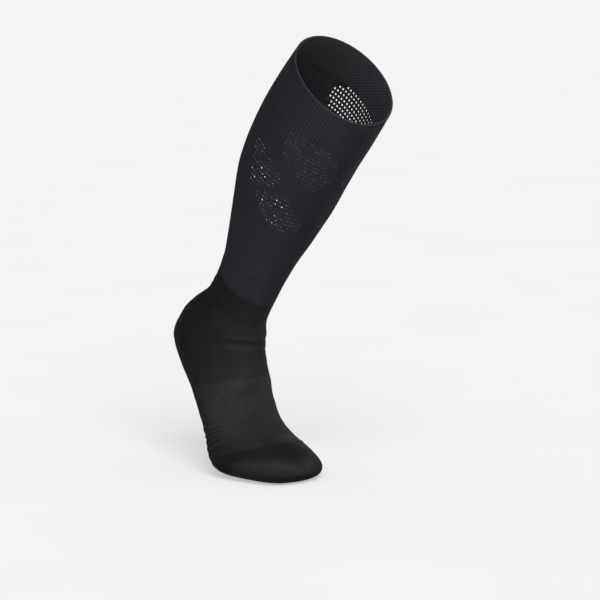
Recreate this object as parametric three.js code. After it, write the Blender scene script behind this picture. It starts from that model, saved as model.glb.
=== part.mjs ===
import * as THREE from 'three';

// A knee-high compression stocking, open and hollow as when worn, the heel lifted and the toes flat
// on the floor. X runs across the foot, the toes point towards -Y and Z is up, in millimetres and
// degrees. The origin is the centre of the cuff band, where the calf holds the stocking up.

// The pose
const SOLE_SLOPE = 45; // how steeply the sole climbs from the ball to the heel
const SHANK_LEAN = 36; // how far the leg leans forward of upright
const ANKLE = { along: 133, above: 78 }; // the ankle joint, behind the ball and over the sole

// The leg's rings: height over the ankle joint, how far the ring dips towards the shin off square to
// the leg, reach of the cloth before and behind the shank's line, and half its width
const LEG_RINGS = [
  { height: 305, dip: 10.7, shin: 51, calf: 58.5, half: 51.5 },
  { height: 265, dip: 10.7, shin: 48, calf: 64.5, half: 52.5 },
  { height: 225, dip: 7, shin: 44.5, calf: 68, half: 52.5 },
  { height: 180, dip: 3, shin: 42.5, calf: 64.5, half: 51.5 },
  { height: 135, dip: 0, shin: 40, calf: 52, half: 43 },
  { height: 95, dip: 0, shin: 37, calf: 43, half: 33 },
  { height: 62, dip: 0, shin: 37.5, calf: 35.5, half: 28 },
];

// The rings that fan around the heel and run down the arch: where each crosses the instep and the
// sole, behind the ball and over the sole line, half its width, and how square its sole corners are
const FOOT_RINGS = [
  { instep: [98, 111], sole: [170.5, 91.5], half: 28, square: 2 },
  { instep: [91, 102], sole: [178, 66], half: 31.5, square: 2 },
  { instep: [84.5, 95.5], sole: [181, 38], half: 33.5, square: 2 },
  { instep: [77.5, 90], sole: [173.5, 12], half: 34, square: 2.1 },
  { instep: [70, 84.5], sole: [143, 1.5], half: 34, square: 2.2 },
  { instep: [61.5, 73.5], sole: [107, 2], half: 37.5, square: 2.3 },
  { instep: [50, 53.5], sole: [73, 3.5], half: 42.5, square: 2.4 },
  { instep: [34.5, 41], sole: [41.5, 2.5], half: 47, square: 2.5 },
];

// The rings of the ball and toes: distance before the ball's line and height over the floor, above
// and below the toes. A sole height under zero is pressed flat on the floor
const TOE_RINGS = [
  { above: [6.5, 51], below: [-12.5, 7], half: 51, square: 2.6 },
  { above: [20, 41.5], below: [3.5, -1], half: 53.5, square: 2.7 },
  { above: [36.5, 36], below: [26, -1.5], half: 49.5, square: 2.8 },
  { above: [54.5, 29], below: [51, -1], half: 43, square: 2.8 },
  { above: [68, 22], below: [69, 0.5], half: 34.5, square: 2.6 },
  { above: [76, 16], below: [77.5, 3], half: 22, square: 2.3 },
  { above: [79.8, 11], below: [80.3, 6.5], half: 8.5, square: 2 },
  { above: [80.4, 8.8], below: [80.4, 8.8], half: 0, square: 2 },
];

// The cloth
const SEAM_GAP = 0.3;
const CUFF_WALL = 1.8;
const LEG_WALL = 1.3;
const FOOT_WALL = 1.5;
const PAD_WALL = 2; // the terry heel and toe
const LEG_WALES = 96; // ribs around the cuff and leg
const ARCH_WALES = 60; // ribs around the arch band
const CUFF_RIB = 0.5;
const LEG_RIB = 0.3;
const ARCH_RIB = 0.5;
const FLEX_RIDGE = 0.8;
const TOE_SEAM = 0.7;

// Where the knit changes, counted in rings from the rim
const CUFF_END = 1;
const LEG_END = 6.2;
const HEEL_START = 7.5;
const HEEL_END = 11.2;
const ARCH_START = 11.95;
const ARCH_END = 13.35;
const TOE_START = 17.2;
const TOE_SEAM_END = 17.45;

// The ridges across the knit over the heel tendon, at the bend of the instep and under the ball: the
// stations they fill, the angle of their middle from the shin and how far they reach from it
const TENDON_RIDGES = { from: 6.5, to: HEEL_START, ridges: 5, middle: 180, reach: 62 };
const INSTEP_RIDGES = { from: 8, to: 10.4, ridges: 3, middle: 0, reach: 72 };
const BALL_RIDGES = { from: 13.5, to: 15.6, ridges: 6, middle: 180, reach: 130 };
const RIDGE_FADE = 24;

// How far around from the instep the heel pocket's side lies, down the foot
const HEEL_SIDES = [
  { station: 7.5, angle: 130 },
  { station: 8, angle: 122 },
  { station: 8.6, angle: 102 },
  { station: 9.25, angle: 83 },
  { station: 10.2, angle: 80 },
  { station: 11.2, angle: 92 },
];

// The mesh of the foot
const FOOT_COLUMNS = 56;
const HEEL_COLUMN = 12; // the column that follows the heel pocket's side
const ANKLE_THIN = { rows: 1, columns: 2 };
const FOOT_THIN = { rows: 2, columns: 2 };

const COLOURS = { leg: '#2b2e34', foot: '#1f2023' };

const { clamp, degToRad, lerp, radToDeg, smoothstep } = THREE.MathUtils;
const leanSin = Math.sin(degToRad(SHANK_LEAN));
const leanCos = Math.cos(degToRad(SHANK_LEAN));
const slopeSin = Math.sin(degToRad(SOLE_SLOPE));
const slopeCos = Math.cos(degToRad(SOLE_SLOPE));

// A point of the raised foot, in the plane of the pose: forward of the ball and over the floor
function onFoot([along, above]) {
  return { forward: above * slopeSin - along * slopeCos, up: along * slopeSin + above * slopeCos };
}

const ankle = onFoot([ANKLE.along, ANKLE.above]);

// A point beside the shank's line: how far up it and how far forward of it
function onShank(height, ahead) {
  return {
    forward: ankle.forward + height * leanSin + ahead * leanCos,
    up: ankle.up + height * leanCos - ahead * leanSin,
  };
}

// Every ring in the same terms, from the rim to the tip of the toe
const RINGS = [
  ...LEG_RINGS.map(({ height, dip, shin, calf, half }) => ({
    front: onShank(height - Math.tan(degToRad(dip)) * shin, shin),
    back: onShank(height + Math.tan(degToRad(dip)) * calf, -calf),
    half,
    square: 2,
  })),
  ...FOOT_RINGS.map(({ instep, sole, half, square }) => (
    { front: onFoot(instep), back: onFoot(sole), half, square }
  )),
  ...TOE_RINGS.map(({ above, below, half, square }) => ({
    front: { forward: above[0], up: above[1] },
    back: { forward: below[0], up: below[1] },
    half,
    square,
  })),
];
const TIP = RINGS.length - 1;

// A smooth run through one size of every ring, with no overshoot between rings
function run(size) {
  const values = RINGS.map(size);
  const steps = values.slice(1).map((value, row) => value - values[row]);
  const slopes = values.map((_, row) => {
    const before = steps[row - 1] ?? steps[row];
    const after = steps[row] ?? steps[row - 1];
    return before * after > 0 ? (2 * before * after) / (before + after) : 0;
  });
  return (station) => {
    const row = Math.min(Math.floor(station), TIP - 1);
    const t = station - row;
    return lerp(values[row], values[row + 1], t * t * (3 - 2 * t))
      + t * (1 - t) * ((1 - t) * slopes[row] - t * slopes[row + 1]);
  };
}

const frontForward = run((ring) => ring.front.forward);
const frontUp = run((ring) => ring.front.up);
const backForward = run((ring) => ring.back.forward);
const backUp = run((ring) => ring.back.up);
const halfWidth = run((ring) => ring.half);
const squareness = run((ring) => ring.square);

// The smooth outside of the cloth. Around is 0 at the shin and half a turn at the calf and sole
function surface(around, station) {
  const at = clamp(station, 0, TIP);
  const ahead = Math.cos(around);
  const beside = Math.sin(around);
  const power = ahead < 0 ? squareness(at) : 2;
  const reach = (Math.abs(ahead) ** power + Math.abs(beside) ** power) ** (-1 / power);
  const share = (1 + ahead * reach) / 2;
  return new THREE.Vector3(
    halfWidth(at) * beside * reach,
    -lerp(backForward(at), frontForward(at), share),
    Math.max(lerp(backUp(at), frontUp(at), share), 0),
  );
}

const STEP = 0.002;

function alongStation(around, station) {
  return surface(around, station + STEP).sub(surface(around, station - STEP)).divideScalar(2 * STEP);
}

function alongAround(around, station) {
  return surface(around + STEP, station).sub(surface(around - STEP, station)).divideScalar(2 * STEP);
}

function outward(around, station) {
  return alongStation(around, station).cross(alongAround(around, station)).normalize();
}

// A band of ridges: a crest halfway between each pair of grooves, fading out at both ends
function ridge(around, station, { from, to, ridges, middle, reach }) {
  if (station <= from || station >= to) return 0;
  const turn = Math.abs(radToDeg(around) - middle) % 360;
  const crest = (1 - Math.cos(((station - from) / (to - from)) * ridges * 2 * Math.PI)) / 2;
  return crest * (1 - smoothstep(Math.min(turn, 360 - turn), reach - RIDGE_FADE, reach));
}

const ridged = (station, around) => FLEX_RIDGE * (
  ridge(around, station, TENDON_RIDGES)
  + ridge(around, station, INSTEP_RIDGES)
  + ridge(around, station, BALL_RIDGES)
);

// Ribs down the cloth: every other column stands up
const ribbed = (height) => (station, around, column) => (column % 2 === 0 ? height : 0);

const evenly = (column, columns) => (column / columns) * 2 * Math.PI;

// Columns that part at the heel pocket, so that one of them follows each of its sides
function besideHeel(column, columns, station) {
  const after = HEEL_SIDES.findIndex((side) => side.station >= station);
  const next = HEEL_SIDES[after < 0 ? HEEL_SIDES.length - 1 : after];
  const last = HEEL_SIDES[after < 0 ? HEEL_SIDES.length - 1 : Math.max(after - 1, 0)];
  const share = next === last ? 0 : (station - last.station) / (next.station - last.station);
  const side = degToRad(lerp(last.angle, next.angle, share));
  const fromFront = Math.min(column, columns - column);
  const angle = fromFront <= HEEL_COLUMN
    ? (fromFront / HEEL_COLUMN) * side
    : lerp(side, Math.PI, (fromFront - HEEL_COLUMN) / (columns / 2 - HEEL_COLUMN));
  return column <= columns / 2 ? angle : 2 * Math.PI - angle;
}

// Builds one closed wall of cloth on a grid of stations and columns. The inside is plain and coarser:
// it skips rows and columns as `thin` says. `holds` says which of its patches the cloth has
function cloth({
  name, zones, columns, thin, wall, raise, colour, angleOf = evenly, holds = () => true, tip = false,
}) {
  const stations = [zones[0].from];
  zones.forEach(({ from, to, rows }) => {
    for (let row = 1; row <= rows; row += 1) stations.push(lerp(from, to, row / rows));
  });
  const rows = stations.length - 1;
  const wrap = (column) => (column + columns) % columns;
  const has = (row, column) => row >= 0 && row < rows
    && holds(Math.floor(row / thin.rows), Math.floor(wrap(column) / thin.columns));
  const points = [];
  const triangles = [];
  const known = new Map();

  // A seam stands half the gap back from its line, on whichever sides the cloth ends
  function place(row, column) {
    const around = angleOf(column, columns, stations[row]);
    let down = 0;
    let round = 0;
    [[-1, -1], [-1, 0], [0, -1], [0, 0]].forEach(([rowStep, columnStep]) => {
      if (!has(row + rowStep, column + columnStep)) return;
      down += rowStep === 0 ? 1 : -1;
      round += columnStep === 0 ? 1 : -1;
    });
    const downBy = (Math.sign(down) * SEAM_GAP) / 2 / alongStation(around, stations[row]).length();
    const roundBy = (Math.sign(round) * SEAM_GAP) / 2 / alongAround(around, stations[row]).length();
    return [around + roundBy, stations[row] + downBy];
  }

  function makePoint(isInside, row, column) {
    const isTip = tip && row === rows;
    const [around, station] = isTip ? [0, TIP] : place(row, column);
    const point = surface(around, station);
    const normal = isTip ? new THREE.Vector3(0, -1, 0) : outward(around, station);
    point.addScaledVector(normal, isInside ? -wall : raise(stations[row], around, column, row));
    return isInside ? point : point.setZ(Math.max(point.z, 0));
  }

  function vertex(side, row, column) {
    const key = `${side} ${row} ${tip && row === rows ? 0 : wrap(column)}`;
    if (!known.has(key)) {
      known.set(key, points.length);
      points.push(makePoint(side === 'inside', row, wrap(column)));
    }
    return known.get(key);
  }

  function triangle(a, b, c) {
    if (a !== b && b !== c && c !== a) triangles.push(a, b, c);
  }

  // Lays one patch between four corners, facing out or, on the inside, into the hollow
  function patch(side, row, column, height, width) {
    const corners = [[0, 0], [height, 0], [height, width], [0, width]];
    const [a, b, c, d] = corners.map(([down, round]) => vertex(side, row + down, column + round));
    const [first, second] = side === 'outside' ? [b, d] : [d, b];
    triangle(a, first, c);
    triangle(a, c, second);
  }

  // Closes the cloth's edge between the outside's fine points and the inside's two
  function closeEdge(start, end, steps) {
    const path = Array.from({ length: steps + 1 }, (_, step) => vertex(
      'outside',
      lerp(end[0], start[0], step / steps),
      lerp(end[1], start[1], step / steps),
    ));
    const [inner, outer] = [start, end].map(([row, column]) => vertex('inside', row, column));
    const middle = Math.floor(steps / 2);
    path.slice(1).forEach((next, step) => triangle(path[step], next, step < middle ? outer : inner));
    triangle(path[middle], inner, outer);
  }

  for (let row = 0; row < rows; row += 1) {
    for (let column = 0; column < columns; column += 1) {
      if (has(row, column)) patch('outside', row, column, 1, 1);
    }
  }
  for (let row = 0; row < rows; row += thin.rows) {
    for (let column = 0; column < columns; column += thin.columns) {
      if (has(row, column)) {
        const [below, beyond] = [row + thin.rows, column + thin.columns];
        patch('inside', row, column, thin.rows, thin.columns);
        if (!has(row, column - 1)) closeEdge([row, column], [below, column], thin.rows);
        if (!has(below, column) && !(tip && below === rows)) {
          closeEdge([below, column], [below, beyond], thin.columns);
        }
        if (!has(row, beyond)) closeEdge([below, beyond], [row, beyond], thin.rows);
        if (!has(row - 1, column)) closeEdge([row, beyond], [row, column], thin.columns);
      }
    }
  }

  const geometry = new THREE.BufferGeometry().setFromPoints(points);
  geometry.setIndex(triangles);
  geometry.computeVertexNormals();
  const material = new THREE.MeshStandardMaterial({ color: colour, roughness: 0.9, metalness: 0 });
  const mesh = new THREE.Mesh(geometry, material);
  mesh.name = name;
  return mesh;
}

const heelZones = [
  { from: HEEL_START, to: INSTEP_RIDGES.from, rows: 2 },
  { from: INSTEP_RIDGES.from, to: INSTEP_RIDGES.to, rows: 2 * INSTEP_RIDGES.ridges },
  { from: INSTEP_RIDGES.to, to: HEEL_END, rows: 2 },
];
const ankleZones = [
  { from: LEG_END, to: TENDON_RIDGES.from, rows: 2 },
  { from: TENDON_RIDGES.from, to: TENDON_RIDGES.to, rows: 2 * TENDON_RIDGES.ridges },
];
const countRows = (zones) => zones.reduce((sum, zone) => sum + zone.rows, 0);
const heelTop = countRows(ankleZones) / ANKLE_THIN.rows;
const heelBottom = heelTop + countRows(heelZones) / ANKLE_THIN.rows;
const inHeelRows = (row) => row >= heelTop && row < heelBottom;
const inHeelColumns = (column) => column >= HEEL_COLUMN / ANKLE_THIN.columns
  && column < (FOOT_COLUMNS - HEEL_COLUMN) / ANKLE_THIN.columns;

const stocking = new THREE.Group();
stocking.add(
  cloth({
    name: 'cuff',
    zones: [{ from: 0, to: CUFF_END, rows: 4 }],
    columns: 2 * LEG_WALES,
    thin: { rows: 2, columns: 4 },
    wall: CUFF_WALL,
    raise: ribbed(CUFF_RIB),
    colour: COLOURS.leg,
  }),
  cloth({
    name: 'leg',
    zones: [{ from: CUFF_END, to: LEG_END, rows: 10 }],
    columns: 2 * LEG_WALES,
    thin: { rows: 1, columns: 4 },
    wall: LEG_WALL,
    raise: ribbed(LEG_RIB),
    colour: COLOURS.leg,
  }),
  cloth({
    name: 'instep',
    zones: [...ankleZones, ...heelZones, { from: HEEL_END, to: ARCH_START, rows: 2 }],
    columns: FOOT_COLUMNS,
    thin: ANKLE_THIN,
    wall: FOOT_WALL,
    raise: ridged,
    angleOf: besideHeel,
    holds: (row, column) => !(inHeelRows(row) && inHeelColumns(column)),
    colour: COLOURS.foot,
  }),
  cloth({
    name: 'heel',
    zones: heelZones,
    columns: FOOT_COLUMNS,
    thin: ANKLE_THIN,
    wall: PAD_WALL,
    raise: () => 0,
    angleOf: besideHeel,
    holds: (row, column) => inHeelColumns(column),
    colour: COLOURS.foot,
  }),
  cloth({
    name: 'arch_band',
    zones: [{ from: ARCH_START, to: ARCH_END, rows: 4 }],
    columns: 2 * ARCH_WALES,
    thin: { rows: 2, columns: 4 },
    wall: FOOT_WALL,
    raise: ribbed(ARCH_RIB),
    colour: COLOURS.foot,
  }),
  cloth({
    name: 'forefoot',
    zones: [
      { from: ARCH_END, to: BALL_RIDGES.from, rows: 2 },
      { from: BALL_RIDGES.from, to: BALL_RIDGES.to, rows: 2 * BALL_RIDGES.ridges },
      { from: BALL_RIDGES.to, to: TOE_START, rows: 4 },
    ],
    columns: FOOT_COLUMNS,
    thin: FOOT_THIN,
    wall: FOOT_WALL,
    raise: ridged,
    colour: COLOURS.foot,
  }),
  cloth({
    name: 'toe',
    zones: [
      { from: TOE_START, to: TOE_SEAM_END, rows: 2 },
      { from: TOE_SEAM_END, to: TIP, rows: 10 },
    ],
    columns: FOOT_COLUMNS,
    thin: FOOT_THIN,
    wall: PAD_WALL,
    raise: (station, around, column, row) => (row === 1 ? TOE_SEAM : 0),
    tip: true,
    colour: COLOURS.foot,
  }),
);

// The centre of the cuff band goes to the origin
const cuffShin = surface(0, CUFF_END / 2);
const cuffCalf = surface(Math.PI, CUFF_END / 2);
stocking.position.copy(cuffShin).add(cuffCalf).divideScalar(-2);

export default stocking;
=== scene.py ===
# %% [markdown]
# # A knee-high compression stocking
# The stocking is a knitted tube that was worked on a small circular machine: a ribbed cuff, a ribbed
# leg with net panels, a heel pocket, a tight band around the arch, a plain forefoot and a closed toe.
# The measured solids come first, because every piece of cloth made here takes the place of one.

# %% Load the measured solids
from math import cos, pi, radians, sin

import bpy
import numpy as np
from mathutils import Matrix, Vector


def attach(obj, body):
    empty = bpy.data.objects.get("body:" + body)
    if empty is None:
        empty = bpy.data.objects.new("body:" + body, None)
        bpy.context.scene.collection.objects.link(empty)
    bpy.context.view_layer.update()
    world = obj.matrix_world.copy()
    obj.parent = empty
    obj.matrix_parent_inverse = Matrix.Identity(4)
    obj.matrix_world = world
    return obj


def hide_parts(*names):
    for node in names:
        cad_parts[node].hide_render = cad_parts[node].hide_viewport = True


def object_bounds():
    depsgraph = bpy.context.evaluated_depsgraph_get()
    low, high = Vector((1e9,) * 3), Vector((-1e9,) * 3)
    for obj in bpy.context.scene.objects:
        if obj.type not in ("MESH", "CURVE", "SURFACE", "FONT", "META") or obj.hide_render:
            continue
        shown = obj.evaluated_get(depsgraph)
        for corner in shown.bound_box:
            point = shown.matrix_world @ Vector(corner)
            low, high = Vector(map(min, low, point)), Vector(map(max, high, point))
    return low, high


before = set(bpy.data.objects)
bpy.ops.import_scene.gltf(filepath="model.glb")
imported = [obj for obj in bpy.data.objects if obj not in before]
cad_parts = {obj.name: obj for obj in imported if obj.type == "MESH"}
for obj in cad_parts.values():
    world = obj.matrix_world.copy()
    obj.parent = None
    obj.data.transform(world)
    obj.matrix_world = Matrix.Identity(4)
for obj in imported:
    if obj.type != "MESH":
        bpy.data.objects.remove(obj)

solid_box = [[float(value) for value in corner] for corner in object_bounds()]
print("solids:", ", ".join(sorted(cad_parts)), "in", np.round(solid_box, 4).tolist())

# %% [markdown]
# ## The camera
# The picture was taken from low down, to the left of the toes, with a long lens. A camera can be
# aimed with a Track To constraint, but here its three axes are written down, so nothing moves it
# later. The lens is set so that one pixel of a 600 pixel picture is one millimetre at the ankle.

# %% Aim the camera
AZIMUTH, ELEVATION, DISTANCE = radians(-39), radians(8.8), 2.487
PICTURE_SIDE, PIXELS = 0.6, 600  # what the picture spans at that distance, and in pixels
LOOKS_AT = Vector((0, 0.1244, -0.2343))
SEEN_AT = (252.1, 323.8)  # where that point lies in the picture, in pixels
back = Vector((sin(AZIMUTH) * cos(ELEVATION), -cos(AZIMUTH) * cos(ELEVATION), sin(ELEVATION)))
right = Vector((cos(AZIMUTH), sin(AZIMUTH), 0))
camera = bpy.data.objects.new("camera", bpy.data.cameras.new("camera"))
camera.matrix_world = Matrix.Translation(LOOKS_AT + DISTANCE * back) @ Matrix(
    (right, back.cross(right), back)
).transposed().to_4x4()
camera.data.lens = camera.data.sensor_width * DISTANCE / PICTURE_SIDE
camera.data.shift_x = 0.5 - SEEN_AT[0] / PIXELS
camera.data.shift_y = SEEN_AT[1] / PIXELS - 0.5
bpy.context.collection.objects.link(camera)
bpy.context.scene.camera = camera
print(f"lens {camera.data.lens:.0f} mm")

# %% [markdown]
# ## The form under the cloth
# Worn cloth takes the shape of the leg. A knitter would draw that shape as rings: around the calf,
# around the ankle, then fanning about the heel and on to the toes. Sculpting could give the form
# too, but rings keep it at its measured size. Each ring is set by where it crosses the front and
# the back of the leg and by half its width, and a smooth run joins the rings with no overshoot.

# %% Rings of the leg and foot
SOLE_SLOPE, SHANK_LEAN = radians(45), radians(36)
ANKLE = (133, 78)  # millimetres behind the ball and over the sole
# height over the ankle joint, dip to the shin, reach in front and behind, half width
LEG_RINGS = [
    (305, 10.7, 51, 58.5, 51.5), (265, 10.7, 48, 64.5, 52.5), (225, 7, 44.5, 68, 52.5),
    (180, 3, 42.5, 64.5, 51.5), (135, 0, 40, 52, 43), (95, 0, 37, 43, 33), (62, 0, 37.5, 35.5, 28),
]
# instep and sole, each behind the ball and over the sole line, half width, squareness
FOOT_RINGS = [
    (98, 111, 170.5, 91.5, 28, 2), (91, 102, 178, 66, 31.5, 2), (84.5, 95.5, 181, 38, 33.5, 2),
    (77.5, 90, 173.5, 12, 34, 2.1), (70, 84.5, 143, 1.5, 34, 2.2), (61.5, 73.5, 107, 2, 37.5, 2.3),
    (50, 53.5, 73, 3.5, 42.5, 2.4), (34.5, 41, 41.5, 2.5, 47, 2.5),
]
# above and below the toes, each before the ball and over the floor, half width, squareness
TOE_RINGS = [
    (6.5, 51, -12.5, 7, 51, 2.6), (20, 41.5, 3.5, -1, 53.5, 2.7), (36.5, 36, 26, -1.5, 49.5, 2.8),
    (54.5, 29, 51, -1, 43, 2.8), (68, 22, 69, 0.5, 34.5, 2.6), (76, 16, 77.5, 3, 22, 2.3),
    (79.8, 11, 80.3, 6.5, 8.5, 2), (80.4, 8.8, 80.4, 8.8, 0, 2),
]


def on_foot(along, above):
    """A point of the raised foot: forward of the ball and over the floor."""
    return (
        above * sin(SOLE_SLOPE) - along * cos(SOLE_SLOPE),
        along * sin(SOLE_SLOPE) + above * cos(SOLE_SLOPE),
    )


def on_shank(height, ahead):
    """A point beside the shank's line: how far up it and how far forward of it."""
    forward, up = on_foot(*ANKLE)
    return (
        forward + height * sin(SHANK_LEAN) + ahead * cos(SHANK_LEAN),
        up + height * cos(SHANK_LEAN) - ahead * sin(SHANK_LEAN),
    )


rings = []
for height, dip, shin, calf, half in LEG_RINGS:
    tilt = np.tan(radians(dip))
    rings.append(
        (*on_shank(height - tilt * shin, shin), *on_shank(height + tilt * calf, -calf), half, 2)
    )
for a, b, c, d, half, square in FOOT_RINGS:
    rings.append((*on_foot(a, b), *on_foot(c, d), half, square))
rings = np.array(rings + TOE_RINGS, float)
TIP = len(rings) - 1
print(len(rings), "rings, from the rim to the tip of the toe")

# %% The smooth outside of the cloth
steps = np.diff(rings, axis=0)
before, after = np.vstack([steps[:1], steps]), np.vstack([steps, steps[-1:]])
slopes = np.where(before * after > 0, 2 * before * after / np.where(before + after, before + after, 1), 0)
STEP = 0.002


def outside(around, station):
    """Points of the outside, in the floor's millimetres. Around is 0 at the shin."""
    at = np.clip(station, 0, TIP)
    row = np.minimum(at.astype(int), TIP - 1)
    t = (at - row)[..., None]
    size = rings[row] + (rings[row + 1] - rings[row]) * (t * t * (3 - 2 * t)) + t * (1 - t) * (
        (1 - t) * slopes[row] - t * slopes[row + 1]
    )
    ahead, beside = np.cos(around), np.sin(around)
    power = np.where(ahead < 0, size[..., 5], 2)
    reach = (np.abs(ahead) ** power + np.abs(beside) ** power) ** (-1 / power)
    share = (1 + ahead * reach) / 2
    forward = size[..., 2] + (size[..., 0] - size[..., 2]) * share
    up = size[..., 3] + (size[..., 1] - size[..., 3]) * share
    return np.stack([size[..., 4] * beside * reach, -forward, np.maximum(up, 0)], -1)


def down_cloth(around, station):
    return (outside(around, station + STEP) - outside(around, station - STEP)) / (2 * STEP)


def round_cloth(around, station):
    return (outside(around + STEP, station) - outside(around - STEP, station)) / (2 * STEP)


def outward(around, station):
    normal = np.cross(down_cloth(around, station), round_cloth(around, station))
    return normal / np.linalg.norm(normal, axis=-1, keepdims=True)


cuff_middle = outside(np.array([0, pi]), np.array([0.5, 0.5])).mean(axis=0)


def placed(points):
    """From the floor's millimetres to the solids' metres, whose origin is the cuff's centre."""
    return (points - cuff_middle) / 1000


def girth(station):
    loop = outside(np.linspace(0, 2 * pi, 361), np.full(361, float(station)))
    return np.linalg.norm(np.diff(loop, axis=0), axis=1).sum()


print("girth at rim, calf, ankle, ball:", [round(girth(v)) for v in (0, 2, 6, 16)], "mm")

# %% [markdown]
# ## Where the cloth is thicker, creased or lighter
# A knitter marks such places on the unrolled cloth, by how far round and how far down they lie.
# Padding ridges cross the tendon and the ball, creases gather where the ankle bends, and shade is
# painted into the creases and between the ridges. The yarn reads lighter where the knit is thin over
# the instep than where it is plush, on heel and sole, and painted light and shade go into the same
# tones: lighter where the cloth faces the lamp, darker where it turns away.
# Painting them by hand would work for one view, but written as lists they hold all round.

# %% Ridges, creases and tones
# ridges across the knit: first and last station, how many, how near the shin they reach on the
# outer and on the inner side, in degrees, and their height
RIDGES = [(6.5, 7.5, 5, 118, 118, 0.5), (13.53, 16.23, 6, 46, 78, 0.75)]
RIDGE_FADE = 16
# at the ball the ridges climb toward the sole: stations per degree, from and over how many degrees
RIDGE_CLIMB, CLIMB_FROM, CLIMB_OVER, CLIMB_BELOW = 0.013, 52, 40, 13.6
# creases: points along each (degrees from the shin, station, how strong), half width, depth (less
# than none for a fold that stands up), and how much shade is painted into it (less than none paints
# it lighter, as a lit fold)
CREASE_END = 12  # degrees over which a crease dies out past its first and last points
CREASES = [
    ([(0, 8.5, 1), (14, 8.47, 1), (43, 8.7, 0.8), (62, 9.32, 0.25), (83, 9.8, 0.25), (103, 10.04, 0.4),
      (119, 10.2, 0.4), (180, 10.3, 0.4)], 2.3, 0.5, 0.26),
    ([(0, 8.2, 1), (40, 8.3, 1), (55, 8.6, 0.3)], 3.4, -0.6, -0.16),
    ([(0, 9.72, 0.7), (35, 9.76, 1), (52, 9.88, 0.5)], 1.7, 0.2, 0.1),
    ([(0, 9.15, 0.8), (35, 9.25, 1), (58, 9.5, 0.4)], 3.6, -0.3, -0.22),
    ([(52, 7.95, 0.6), (60, 8.2, 1), (68, 8.4, 0.5)], 0.9, 0.25, 0.16),
    ([(50, 8.25, 0.6), (60, 8.55, 1), (70, 8.75, 0.5)], 0.9, 0.25, 0.2),
]
# how light each piece's yarn reads at stations down the stocking, partly its own tone and partly
# painted light and shade: first the cuff and the leg, then instep and heel, then arch band, forefoot
# and toe cap, whose end is pale, partly its own lighter yarn and partly painted light on its top
PIECE_TONES_AND_PAINTED_LIGHT = [
    (0, 1.08), (1.8, 1), (3.5, 0.95), (4.5, 1.1), (6.19, 1.12),
    (6.21, 0.72), (7.2, 0.96), (9.2, 0.9), (10.5, 1), (11.94, 1.22),
    (11.96, 1.6), (13.35, 1.53), (16.5, 1.2), (17.28, 1.08), (17.35, 0.76), (18.9, 0.76),
    (20.1, 1.55), (22, 1.15),
]
# what that is multiplied by, from the shin round to the back, in degrees: painted light and shade,
# lighter where the cloth faces the lamp and darker where it turns away; on the foot it also holds
# the darker, plusher yarn of the sole
LEG_PAINTED_LIGHT_AND_SHADE = [(0, 0.88), (30, 1.2), (60, 1.2), (85, 1.07), (110, 0.9), (150, 0.64), (180, 1)]
FOOT_TONE_AND_PAINTED_SHADE = [(0, 1.04), (30, 1.2), (55, 1.02), (85, 0.84), (110, 0.5), (150, 0.32), (180, 0.6)]
FOOT_YARN_FROM = 6.2
FOREFOOT_FROM, FOREFOOT_OVER = 14, 1.5  # stations over which the tones turn to follow the toe's seam
# the pale end of the toe cap climbs toward the sides: how many stations, and by how many degrees
PALE_CLIMB, PALE_SIDE, PALE_FROM = 1.1, 60, 17.6
# the toe's seam lies higher at the sides: how many stations by how many degrees, and where it levels
TOE_RISE, RISEN_AT, TOE_SIDE = 0.45, 45, 85


def toe_dip(turn):
    """How many stations higher the toe's seam lies at the sides than over the toes."""
    return TOE_RISE * (np.minimum(turn, TOE_SIDE) / RISEN_AT) ** 2


def from_shin(around):
    turn = np.degrees(around) % 360
    return np.minimum(turn, 360 - turn)


def ridge_at(around, station):
    """How many ridges have passed at a point, and how high the one there is."""
    turn = from_shin(around)
    climb = RIDGE_CLIMB * np.clip(turn - CLIMB_FROM, 0, CLIMB_OVER)
    at = station + climb * np.clip(station - CLIMB_BELOW, 0, 1)
    passed, height = np.zeros_like(station), np.zeros_like(station)
    for first, last, count, outer, inner, tall in RIDGES:
        passed += np.clip((at - first) / (last - first), 0, 1) * count
        start = np.where(np.degrees(around) % 360 > 180, outer, inner)
        share = np.clip((turn - start) / RIDGE_FADE, 0, 1)
        height += np.where((at > first) & (at < last), tall * share * share * (3 - 2 * share), 0)
    return passed, height


def crease_at(around, station):
    """How deep the creases press into the cloth at a point, and how much shade is painted into them."""
    turn = from_shin(around)
    pace = np.linalg.norm(down_cloth(around, station), axis=-1)
    depth, dark = np.zeros_like(station), np.zeros_like(station)
    for points, half_width, deep, shade in CREASES:
        angles, stations, strengths = zip(*points)
        line = np.interp(turn, angles, stations)
        share = np.exp(-(((station - line) * pace / half_width) ** 2)) * np.interp(turn, angles, strengths)
        share = share * np.clip((angles[-1] - turn) / CREASE_END + 1, 0, 1)
        share = share * np.clip((turn - angles[0]) / CREASE_END + 1, 0, 1)
        depth += share * deep
        # painted shade in the crease, or painted light where the fold stands up
        dark += share * shade
    return depth, dark


def tone_and_painted_light_at(around, station):
    """How light the yarn reads: its piece's tone and painted shade, changed by how far round the point lies.
    """
    turn = from_shin(around)
    # painted light and shade around the leg; around the foot also the darker yarn of the sole
    leg, foot = np.interp(turn, *zip(*LEG_PAINTED_LIGHT_AND_SHADE)), np.interp(turn, *zip(*FOOT_TONE_AND_PAINTED_SHADE))
    at = station + toe_dip(turn) * np.clip((station - FOREFOOT_FROM) / FOREFOOT_OVER, 0, 1)
    at = at + PALE_CLIMB * np.clip(turn / PALE_SIDE, 0, 1) * np.clip(at - PALE_FROM, 0, 1)
    return np.where(station < FOOT_YARN_FROM, leg, foot) * np.interp(at, *zip(*PIECE_TONES_AND_PAINTED_LIGHT))


print(len(RIDGES), "sets of ridges,", len(CREASES), "creases")

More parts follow.
